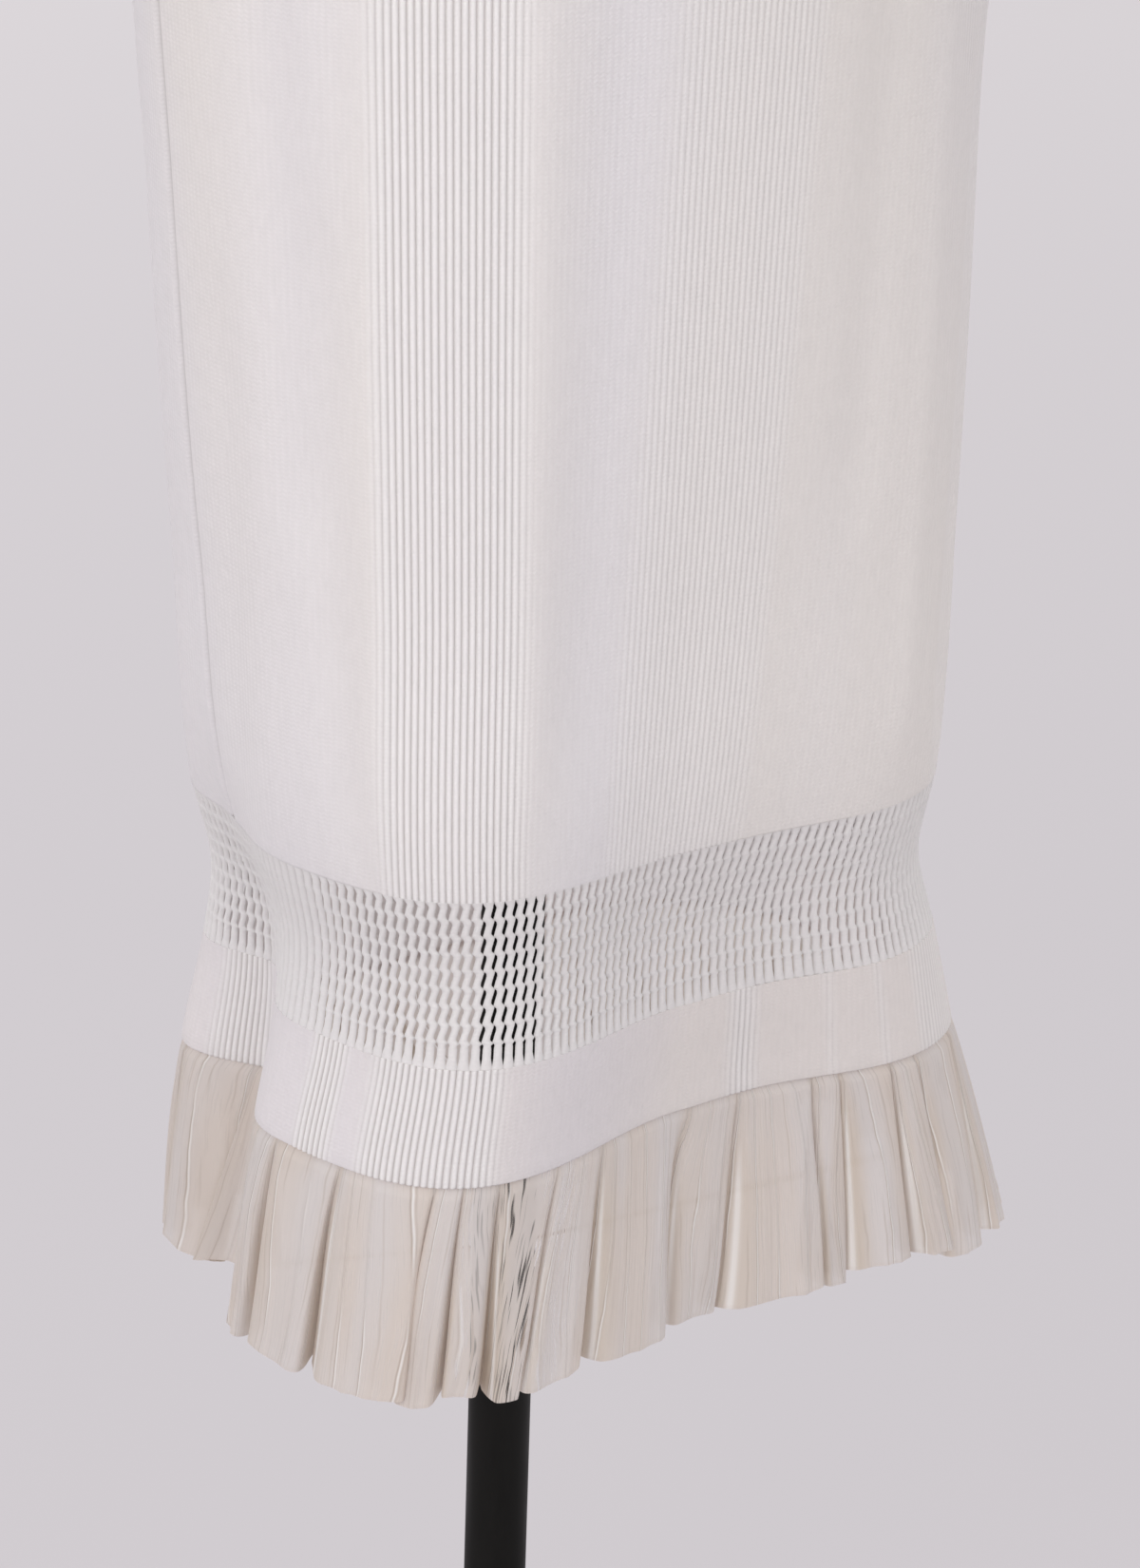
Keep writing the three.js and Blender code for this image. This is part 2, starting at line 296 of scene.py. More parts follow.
def rib_strength(angle, z, zones, foot, top):
    """How far the ribs stand out at each point, as a share of their depth."""
    fall = np.clip((top - z) / (top - foot), 0, 1)
    total = np.full_like(angle, QUIET_RIBS)
    for at_top, at_foot, half_width, strength in zones:
        centre = (at_top + (at_foot - at_top) * fall)[:, None]
        beyond = np.abs(turn_from(angle, centre)) - half_width
        total = np.maximum(total, strength / (1 + np.exp(2 * beyond / RIB_ZONE_EDGE)))
    return total


# ---- meshes


def grid_faces(rows, columns, wrap, start=0):
    """Quads of a grid of points, facing out when the rows rise and the columns run
    towards the wearer's left."""
    j, i = np.indices((rows - 1, columns if wrap else columns - 1))
    low, high, right = j * columns, (j + 1) * columns, (i + 1) % columns
    quads = np.stack([low + i, low + right, high + right, high + i], axis=-1)
    return start + quads.reshape(-1, 4)


def repeated(faces, count, size, start):
    """The quads of one block of size points, for count such blocks in a row."""
    return (start + size * np.arange(count)[:, None, None] + faces).reshape(-1, 4)


def make_piece(name, points, faces, attributes, material):
    """A smooth mesh piece from an array of points in millimetres, with three parts that
    fit its shape for each attribute, and a list of arrays of quads or triangles."""
    mesh = bpy.data.meshes.new(name)
    loops = np.concatenate([f.ravel() for f in faces]).astype(np.int32)
    sizes = np.concatenate([np.full(len(f), f.shape[1]) for f in faces])
    starts = np.concatenate([[0], np.cumsum(sizes)[:-1]]).astype(np.int32)
    shape = points.shape[:-1]
    mesh.vertices.add(math.prod(shape))
    mesh.vertices.foreach_set("co", (points * MM).astype(np.float32).ravel())
    mesh.loops.add(len(loops))
    mesh.loops.foreach_set("vertex_index", loops)
    mesh.polygons.add(len(sizes))
    mesh.polygons.foreach_set("loop_start", starts)
    mesh.polygons.foreach_set("use_smooth", np.ones(len(sizes), bool))
    mesh.update(calc_edges=True)
    mesh.validate()
    mesh.set_sharp_from_angle(angle=SHARP_ANGLE)
    for key, parts in attributes.items():
        values = np.stack([np.broadcast_to(part, shape) for part in parts], axis=-1)
        layer = mesh.attributes.new(key, "FLOAT_VECTOR", "POINT")
        layer.data.foreach_set("vector", values.astype(np.float32).ravel())
    mesh.materials.append(material)
    piece = bpy.data.objects.new(name, mesh)
    bpy.context.scene.collection.objects.link(piece)
    return piece


def with_heights(line, z):
    """Points of the rows in line at the heights z."""
    return np.concatenate([line, np.broadcast_to(z, line.shape[:2])[..., None]], axis=-1)


def shell_faces(rows, columns, wrap):
    """Faces of a closed wall: an outer grid, an inner grid and the rims between."""
    count = rows * columns
    outer = grid_faces(rows, columns, wrap)
    inner = grid_faces(rows, columns, wrap, count)[:, ::-1]
    i = np.arange(columns if wrap else columns - 1)
    right = (i + 1) % columns
    top = (rows - 1) * columns
    faces = [
        outer,
        inner,
        np.stack([top + i, top + right, count + top + right, count + top + i], axis=-1),
        np.stack([right, i, count + i, count + right], axis=-1),
    ]
    if not wrap:
        j = np.arange(rows - 1) * columns
        up, last = j + columns, columns - 1
        faces.append(np.stack([up, count + up, count + j, j], axis=-1))
        faces.append(np.stack([j, count + j, count + up, up], axis=-1) + last)
    return faces


def rib_profile(columns):
    """0 in the grooves to 1 on the ribs, and how many ribs lie before each column."""
    count = np.arange(columns) / RIB_COLUMNS
    wave = 0.5 - 0.5 * np.cos(2 * np.pi * count)
    return wave**RIB_ROUNDNESS, count


def eased(z, foot, top, shares):
    """How far the wall's face draws in at its foot and its top, by each one's share."""
    at_foot, at_top = (np.exp(-near / EDGE_EASE_REACH) for near in (z - foot, top - z))
    return EDGE_EASE * (shares[0] * at_foot + shares[1] * at_top)


def rows_between(foot, top, count):
    """Heights of rows, closer at both edges."""
    ends = [end for e in EDGE_ROWS for end in (foot + e, top - e)]
    return np.sort([*ends, *np.linspace(foot, top, count)])


def seam_nearness(length, shares, width):
    """1 at a panel's side seams, falling off over width."""
    near = np.minimum(shares, 1 - shares)[None, :] * length[:, None]
    return bell(near / width)


def knit_wall(name, faces, z, count, strength, material, seam=None):
    """A closed wall between an outer and an inner face, a ring if it has no seam."""
    marks = {"knit": (count, z[:, None] / STITCH, strength)}
    # The painted shade line along the side seams.
    if seam is not None:
        marks["seam"] = (seam, seam, seam)
    points = np.array([with_heights(face, z[:, None]) for face in faces])
    sides = shell_faces(len(z), len(count), seam is None)
    return make_piece(name, points, sides, marks, material)


def knit_panel(name, start, end, foot, top, row_count, zones, creased, ease, material):
    """A panel of ribbed knit between two side seams."""
    z = rows_between(foot, top, row_count)
    shares = np.linspace(0, 1, RIBS * RIB_COLUMNS + 1)
    angles, length = even_angles(start, end, z, shares)
    line = cloth(angles, z)
    square = outward(line)
    rib, count = rib_profile(len(shares))
    strength = rib_strength(angles, z, zones, foot, top)
    out = strength * RIB_DEPTH * (rib[None, :] - RIB_ROUNDNESS)
    roll = SEAM_ROLL * seam_nearness(length, shares, SEAM_ROLL_WIDTH)
    out -= eased(z, foot, top, ease)[:, None] + roll
    if creased:
        out -= crease_depth(angles, z)
    outer = line + square * out[..., None]
    faces = (outer, outer - square * BODY_WALL)
    # Painted shade along each side seam's groove.
    seam = seam_nearness(length, shares, SEAM_SHADE_WIDTH)
    return knit_wall(name, faces, z, count, strength, material, seam)


# ---- materials

# Noises in a piece's own coordinates: how far it is drawn together on each axis, then
# scale, detail and roughness.
GRAINS = {
    "knit_tint": ((9.0, 9.0, 1.2), 1.0, 1.0, 0.5),
    "knit_mottle": ((1.0, 1.0, 0.25), 420.0, 3.0, 0.6),
    "knit_fuzz": ((1.0, 1.0, 1.0), 2600.0, 2.0, 0.7),
    "chiffon_weave": ((1.0, 1.0, 1.0), 3200.0, 2.0, 0.7),
    "linen_warp": ((1.0, 1.0, 0.08), 1500.0, 2.0, 0.5),
    "linen_weft": ((0.4, 0.4, 1.0), 1500.0, 2.0, 0.5),
    "paint_grain": ((1.0, 1.0, 1.0), 2400.0, 2.0, 0.6),
    "paint_dust": ((1.0, 1.0, 0.3), 60.0, 4.0, 0.6),
}
# Noises in the frill laid flat: waves a millimetre across and down, offset, detail, and
# where one is ranged, from which values to which.
FRILL_GRAINS = {
    "bend": (0.022, 0.009, 7.0, 0.0),
    "ripple": (0.05, 0.06, 19.0, 1.0),
    "tone": (0.05, 0.006, 3.0, 1.0),
    "lines": (0.045, 0.0012, 11.0, 0.0),
    "lines_shown": (0.06, 0.018, 41.0, 0.0, 0.42, 0.54),
    "hairlines": (0.045, 0.0012, 27.0, 0.0),
    "hairlines_shown": (0.09, 0.025, 61.0, 0.0, 0.46, 0.6),
    "creped": (0.26, 0.012, 83.0, 1.5),
    "gaps": (1.05, 0.045, 55.0, 1.0, 0.55, 0.64, 0.0, 0.75),
    "thin": (0.04, 0.01, 68.0, 1.0, 0.36, 0.52, 0.25, 1.0),
}


def linear(srgb):
    """A colour from its 0 to 255 sRGB numbers."""
    v = np.array(srgb, float) / 255
    v = np.where(v <= 0.04045, v / 12.92, ((v + 0.055) / 1.055) ** 2.4)
    return (*map(float, v), 1.0)


class Shading:
    """A new material and short ways to add nodes to it, each giving a socket."""

    def __init__(self, name):
        self.material = bpy.data.materials.new(name)
        self.material.use_nodes = True
        self.tree = self.material.node_tree
        self.tree.nodes.clear()

    def node(self, kind, inputs, **settings):
        """The outputs of a node whose inputs are set to values or linked to sockets."""
        made = self.tree.nodes.new("ShaderNode" + kind)
        for key, value in settings.items():
            setattr(made, key, value)
        for key, value in inputs.items():
            if isinstance(value, bpy.types.NodeSocket):
                self.tree.links.new(value, made.inputs[key])
            else:
                made.inputs[key].default_value = value
        return made.outputs

    def finish(self, shader):
        self.node("OutputMaterial", {0: shader})
        return self.material

    def maths(self, operation, *values):
        return self.node("Math", dict(enumerate(values)), operation=operation)[0]

    def product(self, a, b):
        return self.maths("MULTIPLY", a, b)

    def ranged(self, value, low, high, to_low=0.0, to_high=1.0):
        """to_low where value is low or less, to_high where it is high or more."""
        limits = {"From Min": low, "From Max": high, "To Min": to_low, "To Max": to_high}
        return self.node("MapRange", {"Value": value, **limits})[0]

    def mixed(self, factor, a, b, blend="MIX"):
        """A mix of two colours."""
        inputs = {0: factor, 6: a, 7: b}
        return self.node("Mix", inputs, data_type="RGBA", blend_type=blend)[2]

    def parts(self, vector):
        return self.node("SeparateXYZ", {"Vector": vector})

    def attribute(self, name, output="Vector"):
        return self.node("Attribute", {}, attribute_name=name)[output]

    def coordinates(self):
        return self.node("TexCoord", {})["Object"]

    def noise(self, place, scale, detail, roughness=0.5):
        inputs = {"Vector": place, "Scale": scale, "Detail": detail, "Roughness": roughness}
        return self.node("TexNoise", inputs)["Fac"]

    def grain(self, name):
        drawn, *noise = GRAINS[name]
        place = self.node("Mapping", {"Vector": self.coordinates(), "Scale": drawn})[0]
        return self.noise(place, *noise)

    def frill_grain(self, flat, name):
        across, down, offset, detail, *limits = FRILL_GRAINS[name]
        inputs = {"Scale": (across, down, 1.0), "Location": (offset, offset, 0.0)}
        noise = self.noise(self.node("Mapping", {"Vector": flat, **inputs})[0], 1.0, detail)
        return self.ranged(noise, *limits) if limits else noise

    def bump(self, height, strength, distance):
        inputs = {"Height": height, "Strength": strength, "Distance": distance}
        return self.node("Bump", inputs)[0]

    def surface(self, colour, roughness, specular, normal, sheen, sheen_roughness=0.5):
        inputs = {"Base Color": colour, "Roughness": roughness, "Normal": normal}
        inputs |= {"Specular IOR Level": specular, "Sheen Weight": sheen}
        return self.node("BsdfPrincipled", {**inputs, "Sheen Roughness": sheen_roughness})[0]

    def both(self, share, shader, other):
        """shader, with other in its place for a share of the light."""
        return self.node("MixShader", {0: share, 1: shader, 2: other})[0]

    def let_through(self, share, shader, colour, normal):
        """shader, which lets a share of the light through."""
        through = self.node("BsdfTranslucent", {"Color": colour, "Normal": normal})[0]
        return self.both(share, shader, through)


TRANSLUCENCY = 0.42  # of all the cloth
KNIT_SHEEN = (0.25, 0.45)  # weight, roughness
KNIT_SPECULAR = 0.25
KNIT_BUMP = (0.35, 0.00025)  # strength, distance
KNIT_SHADES = (0.98, 1.012)
KNIT_ROUGHNESS = (0.78, 0.92)
TINT_FADE = (0.38, 0.62)  # of the tint's noise, from cool to warm
MOTTLE_FADE = (0.3, 0.7)
# Painted shade along the side seams' grooves: its colour and its share.
SEAM_SHADE_COLOUR = (188, 182, 180)
SEAM_SHADE_SHARE = 0.6
STITCH_LEAN = 0.9  # stitches that a V falls by from the middle of a rib to its edge
STITCH_RELIEF = 0.35
FUZZ_RELIEF = 0.5


def knit_material(name, crown_highlight, groove_shade, warm, cool):
    """Fine cotton knit: painted highlight on its rib crowns, painted shade in its grooves
    and along its side seams, V stitches and faint tint bands.
    """
    s = Shading(name)
    ribs, stitches, strength = s.parts(s.attribute("knit"))
    across = s.maths("ABSOLUTE", s.maths("SUBTRACT", s.maths("FRACT", ribs), 0.5))
    tint = s.mixed(s.ranged(s.grain("knit_tint"), *TINT_FADE), linear(cool), linear(warm))
    mottle = s.grain("knit_mottle")
    strong = s.ranged(strength, QUIET_RIBS, 1.0)
    # Painted shade in the grooves and painted highlight on the crowns, more where the ribs stand
    # out.
    groove_shade_share = s.product(s.maths("POWER", s.product(across, 2.0), 2.0), strong)
    colour = s.mixed(groove_shade_share, s.mixed(strong, tint, linear(crown_highlight)), linear(groove_shade))
    # Painted shade along the side seams.
    seam = s.product(s.attribute("seam", "Fac"), SEAM_SHADE_SHARE)
    colour = s.mixed(seam, colour, linear(SEAM_SHADE_COLOUR))
    shade = s.ranged(mottle, *MOTTLE_FADE, *KNIT_SHADES)
    grey = s.node("CombineXYZ", {0: shade, 1: shade, 2: shade})[0]
    colour = s.mixed(1.0, colour, grey, "MULTIPLY")
    lean = s.maths("MULTIPLY_ADD", across, STITCH_LEAN, stitches)
    loops = s.maths("SINE", s.product(lean, 2 * math.pi))
    fuzz = s.product(s.grain("knit_fuzz"), FUZZ_RELIEF)
    normal = s.bump(s.maths("MULTIPLY_ADD", loops, STITCH_RELIEF, fuzz), *KNIT_BUMP)
    roughness = s.ranged(mottle, *MOTTLE_FADE, *KNIT_ROUGHNESS)
    shader = s.surface(colour, roughness, KNIT_SPECULAR, normal, *KNIT_SHEEN)
    return s.finish(s.let_through(TRANSLUCENCY, shader, colour, normal))


CHIFFON_SHEERNESS = 0.05  # where it is closest
CHIFFON_SHEEN = (0.12, 0.35)
CHIFFON_SPECULAR = 0.1
CHIFFON_BUMP = (0.6, 0.0006)
CHIFFON_ROUGHNESS = (0.3, 0.7, 0.6, 0.8)  # by its tone
CHIFFON_WARMTH = (0.36, 0.62, 0.0, 0.7)  # by its tone
CHIFFON_COOL, CHIFFON_WARM = (225, 219, 217), (225, 213, 203)
# Warm in its folds: partly their doubled layers, partly painted shade.
FOLD_LAYERS_AND_SHADE_COLOUR = (212, 199, 185)
# Painted shade lines along its folds and crinkles, painted highlight lines along its fold edges.
SHADE_LINE, SHADE_LINE_SHARE = (180, 164, 152), 0.7
HAIRLINE_SHADE, HAIRLINE_SHADE_SHARE = (184, 170, 158), 0.42
HIGHLIGHT_LINE, HIGHLIGHT_LINE_SHARE = (255, 253, 251), 0.85
HEM_COLOUR = (214, 202, 194)
HEM_FADE = (0.975, 0.99, 0.0, 0.2)  # by the share of its fall
CRUMPLE_SWING = 26.0  # how far its fold lines bend
RIPPLE_SWING = 1.8
# How far apart its fold lines are on the whole, and how far they stray, as a share.
FOLD_LINES = {"lines": (13.0, 0.9), "hairlines": (7.5, 1.6)}
# Places and half widths between one fold line and the next.
SHADE_AT, HIGHLIGHT_AT, HAIR_AT, RIDGE_AT = (0.5, 0.03), (0.54, 0.035), (0.5, 0.07), (0.52, 0.08)
WEAVE_RELIEF = 0.12
CREPED_RELIEF = 1.9


def pulse(s, value, centre, half_width):
    """1 where value is centre, falling to 0 at half_width from it."""
    away = s.maths("ABSOLUTE", s.maths("SUBTRACT", value, centre))
    return s.ranged(away, 0.0, half_width, 1.0, 0.0)


def fold_lines(s, flat, name):
    """0 to 1 from each fold line to the next."""
    apart, drift = FOLD_LINES[name]
    share = s.maths("DIVIDE", s.parts(flat)[0], apart)
    return s.maths("FRACT", s.maths("MULTIPLY_ADD", s.frill_grain(flat, name), drift, share))


def bent(s, flat):
    """The frill laid flat, with its fold lines bent and rippled."""
    bend = s.frill_grain(flat, "bend")
    bend = s.maths("MULTIPLY_ADD", bend, CRUMPLE_SWING, -CRUMPLE_SWING / 2)
    bend = s.maths("MULTIPLY_ADD", s.frill_grain(flat, "ripple"), RIPPLE_SWING, bend)
    shift = s.node("CombineXYZ", {"X": bend})[0]
    return s.node("VectorMath", {0: flat, 1: shift}, operation="ADD")[0]


def chiffon_material(name):
    """Sheer crinkled chiffon: warm in its folds, partly painted shade, with fine painted
    highlight lines and painted shade lines along its folds.
    """
    s = Shading(name)
    # Warm folds, partly painted shade, and painted highlight lines along the flutes' edges.
    fold, edge_highlight, fall = s.parts(s.attribute("crinkle"))
    flat = bent(s, s.attribute("cut"))
    tone = s.frill_grain(flat, "tone")
    lines, hairlines = (fold_lines(s, flat, kind) for kind in FOLD_LINES)
    shown = s.frill_grain(flat, "lines_shown")
    pale_highlight = s.maths("MAXIMUM", s.product(pulse(s, lines, *HIGHLIGHT_AT), shown), edge_highlight)
    shade_line = s.product(pulse(s, lines, *SHADE_AT), shown)
    hair_shade = s.product(pulse(s, hairlines, *HAIR_AT), s.frill_grain(flat, "hairlines_shown"))
    warmth = s.ranged(tone, *CHIFFON_WARMTH)
    colour = s.mixed(warmth, linear(CHIFFON_COOL), linear(CHIFFON_WARM))
    # Over its tone: its folds' colour, partly painted shade; painted shade lines; painted
    # highlight lines; the hem's colour.
    for share, over in (
        (fold, FOLD_LAYERS_AND_SHADE_COLOUR),
        (s.product(shade_line, SHADE_LINE_SHARE), SHADE_LINE),
        (s.product(hair_shade, HAIRLINE_SHADE_SHARE), HAIRLINE_SHADE),
        (s.product(pale_highlight, HIGHLIGHT_LINE_SHARE), HIGHLIGHT_LINE),
        (s.ranged(fall, *HEM_FADE), HEM_COLOUR),
    ):
        colour = s.mixed(share, colour, linear(over))
    ridge = pulse(s, lines, *RIDGE_AT)
    relief = s.maths("MULTIPLY_ADD", s.grain("chiffon_weave"), WEAVE_RELIEF, ridge)
    creped = s.frill_grain(flat, "creped")
    normal = s.bump(s.maths("MULTIPLY_ADD", creped, CREPED_RELIEF, relief), *CHIFFON_BUMP)
    roughness = s.ranged(tone, *CHIFFON_ROUGHNESS)
    shader = s.surface(colour, roughness, CHIFFON_SPECULAR, normal, *CHIFFON_SHEEN)
    body = s.let_through(TRANSLUCENCY, shader, colour, normal)
    thin = s.product(s.frill_grain(flat, "thin"), s.attribute("sheer", "Fac"))
    gaps = s.product(s.frill_grain(flat, "gaps"), thin)
    flatness = s.maths("SUBTRACT", 1.0, fold)
    sheerness = s.maths("MULTIPLY_ADD", gaps, flatness, CHIFFON_SHEERNESS)
    return s.finish(s.both(sheerness, body, s.node("BsdfTransparent", {})[0]))


def plain_material(name, tones, relief, colours, fade, roughness, bump, specular, sheen):
    """One of two colours, with its roughness, by the sum of its tones' noises."""
    s = Shading(name)
    tone = s.grain(tones[0])
    for more in tones[1:]:
        tone = s.maths("ADD", tone, s.grain(more))
    colour = s.mixed(s.ranged(tone, *fade), *map(linear, colours))
    normal = s.bump(s.grain(relief) if relief else tone, *bump)
    return s.finish(s.surface(colour, s.ranged(tone, *roughness), specular, normal, sheen))


# The colours of each part of the knit: its crowns' painted highlight, its grooves' painted
# shade, then its warm and cool tints.
rib_knit, band_knit_shaded, openwork_knit = (
    knit_material(name, *colours)
    for name, *colours in (
        ("rib_knit", (254, 252, 252), (214, 209, 208), (242, 238, 236), (240, 237, 239)),
        # The hem band and the openwork take slightly darker copies of the same yarn's colours:
        # painted shade.
        ("band_knit_shaded", (252, 250, 250), (212, 207, 206), (240, 235, 233), (238, 234, 236)),
        ("openwork_knit", (246, 244, 244), (203, 199, 198), (237, 233, 232), (236, 233, 234)),
    )
)
frill_chiffon = chiffon_material("frill_chiffon")
form_cover = plain_material(  # woven linen, drawn tight
    "form_cover",
    tones=["linen_warp", "linen_weft"],
    relief=None,
    colours=[(218, 207, 193), (232, 222, 209)],
    fade=(0.8, 1.25),
    roughness=(0.8, 1.2, 0.92, 0.8),
    bump=(0.5, 0.0003),
    specular=0.2,
    sheen=0.15,
)
stand_paint = plain_material(  # black powder paint on steel, a little worn and dusty
    "stand_paint",
    tones=["paint_dust"],
    relief="paint_grain",
    colours=[(16, 15, 14), (28, 26, 25)],
    fade=(0.35, 0.75, 0.0, 0.6),
    roughness=(0.3, 0.7, 0.42, 0.6),
    bump=(0.25, 0.0001),
    specular=0.13,
    sheen=0.0,
)

# ---- bodies, hem bands

HALF_GAP = SEAM_GAP_ANGLE / 2
HALVES = {
    "front": (RIGHT_SEAM + HALF_GAP, LEFT_SEAM - HALF_GAP),
    "back": (LEFT_SEAM + HALF_GAP, RIGHT_SEAM + FULL_TURN - HALF_GAP),
}
BODY_ROWS = 44
BAND_ROWS = 9
BODY_EASE, BAND_EASE = (0, 1), (0.4, 0)  # shares of EDGE_EASE at the foot and the top

pieces = {}
for side, ends in HALVES.items():
    heights = (OPENWORK_HEAD + JOIN_GAP / 2, WAISTBAND_FOOT - SEAM_GAP / 2)
    look = (BODY_ROWS, BODY_RIB_ZONES, True, BODY_EASE, rib_knit)
    pieces[f"{side}_body"] = knit_panel(f"{side}_body_knit", *ends, *heights, *look)
    heights = (BAND_HEM + SEAM_GAP / 2, OPENWORK_FOOT - JOIN_GAP / 2)
    look = (BAND_ROWS, BAND_RIB_ZONES, False, BAND_EASE, band_knit_shaded)
    pieces[f"{side}_hem_band"] = knit_panel(f"{side}_hem_band_knit", *ends, *heights, *look)

# ---- waistband

WAISTBAND_PROUD = 1.0
WAISTBAND_WALL = 3.0
WAISTBAND_RIB = 0.45
WAISTBAND_STRENGTH = 0.6  # how much painted shade darkens its grooves
# Up the outside of the doubled band: height above its foot, in from its face.
WAISTBAND_EDGE = table(
    (0.2, 0.9), (0.5, 0.35), (1.4, 0), (10, 0), (20, 0), (27.8, 0), (29.2, 0.35), (29.8, 0.9)
)


def waistband(name, material):
    """The doubled band, a ring of ribs that stand in from its face on both sides."""
    z = WAISTBAND_FOOT + WAISTBAND_EDGE[:, 0]
    rib, count = rib_profile(2 * RIBS * RIB_COLUMNS)
    shares = np.arange(len(count)) / len(count)
    angles, _ = even_angles(RIGHT_SEAM, RIGHT_SEAM + FULL_TURN, z, shares)
    line = cloth(angles, z)
    square = outward(line, ring=True)
    wave = WAISTBAND_RIB * (rib[None, :] - 1)
    ease = WAISTBAND_EDGE[:, 1][:, None]
    outer = line + square * (WAISTBAND_PROUD - ease + wave)[..., None]
    inner = line + square * (WAISTBAND_PROUD - WAISTBAND_WALL + ease - wave)[..., None]
    return knit_wall(name, (outer, inner), z, count, WAISTBAND_STRENGTH, material)


pieces["waistband"] = waistband("waistband_knit", rib_knit)

# ---- openwork

STRANDS = 100  # across each of the front and the back
SLOT_ROW = 7.25
SLOT_ROWS = 8
SLOT_TOP = 1.6  # below the openwork's head
LAST_SLOTS = 5.0  # height of the straight slots under the last row
KINK_SWING = 1.05
KINK_START = 0.72  # share of a row that a strand runs before it kinks back
STRAND_FILL = 0.675
STRAND_SWELL = 0.34  # how much fuller a strand is where it kinks back
STRAND_SWELL_AT = 0.86
STRAND_SWELL_REACH = 0.13
STRAND_THICK = 1.5
STRAND_BACK = -0.08
STRAIGHT_SWELL = 0.1  # and beside the straight slots
SWING_FADE = 0.8  # height over which the kinks begin and end
SWING_MARGIN = 0.5
RIB_MERGE = 2.6  # height over which ribs merge into strands
MERGE_HASTE = 1.3
MERGE_CURVE = 1.5
MERGED_FILL = 0.997
MERGED_THINNING = 0.5
HEAD_ROW, SLOT_END_ROW, FOOT_ROW = 0.8, 1.4, 1.2  # of points, from those places
BRIDGE_SIZE = 0.33
BRIDGE_BEHIND = 1.0
BRIDGE_REACH = 0.36
# Painted shade on the yarns that sit behind the strands.
BRIDGE_PAINTED_PALENESS = 0.1
OPENWORK_STRENGTH = 0.8  # how much painted shade darkens its strands' sides and the yarns behind them
# Across a strand: share of its half width, share of its depth behind its face, paleness
# (lower where painted shade falls on its sides and back).
STRAND_SECTION = table(
    (-1, 0.7, 0.3), (-0.6, 0.12, 0.8), (0, 0.0, 1),
    (0.6, 0.12, 0.8), (1, 0.7, 0.3), (0, 1.0, 0.3),
)
AROUND = len(STRAND_SECTION)
STRAND_CAP = np.array([(0, 5, 2, 1), (5, 4, 3, 2)])
# Round a short yarn: up, out.
BRIDGE_SECTION = table((-1, 0), (0, -1), (1, 0), (0, 1))
BRIDGE_CAPS = np.array([(3, 2, 1, 0), (8, 9, 10, 11)])
BRIDGE_STATIONS = np.array([-BRIDGE_REACH, 0.0, BRIDGE_REACH])
# Down a row of slots: share of the row.
STRAND_STEPS = np.array([0.0, 0.15, 0.32, 0.5, 0.65, KINK_START, 0.81, 0.9])
# The openwork closes up where the cloth turns away: angle, half width, least opening.
CLOSED_UP = [(-72, 13, 0.12), (104, 10, 0.4), (-118, 7, 0.6)]
CLOSED_FILL = 0.95
# Where its strands kink least, by how much, and how much fuller they are there.
CALM_AT, CALM_SPREAD, CALM_SHARE, CALM_FILL = 40.0, 48.0, 0.48, 0.1


def swing(fall):
    """A strand's place across, from 1 to -1, by its share of the way down a row."""
    share = fall % 1.0
    down = np.cos(np.pi * share / KINK_START)
    back = -np.cos(np.pi * (share - KINK_START) / (1 - KINK_START))
    return np.where(share < KINK_START, down, back)


def openness(angle):
    """Share of their full width that the slots open to."""
    total = np.ones_like(angle)
    for centre, half_width, least in CLOSED_UP:
        near = bell(turn_from(angle, centre) / half_width)
        total = np.minimum(total, 1 - (1 - least) * near)
    return total


def kinking(angle):
    """Share of their full swing that the strands kink by."""
    return 1 - CALM_SHARE * bell(turn_from(angle, CALM_AT) / CALM_SPREAD, FLAT_TOPPED)


def openwork_rows(top, first, below, foot):
    """Heights of the strands' rows of points."""
    steps = (np.arange(SLOT_ROWS)[:, None] + STRAND_STEPS).ravel()
    ends = [top, top - HEAD_ROW, below, below - SLOT_END_ROW, below - LAST_SLOTS]
    return np.sort([*(first - steps * SLOT_ROW), *ends, foot + FOOT_ROW, foot])


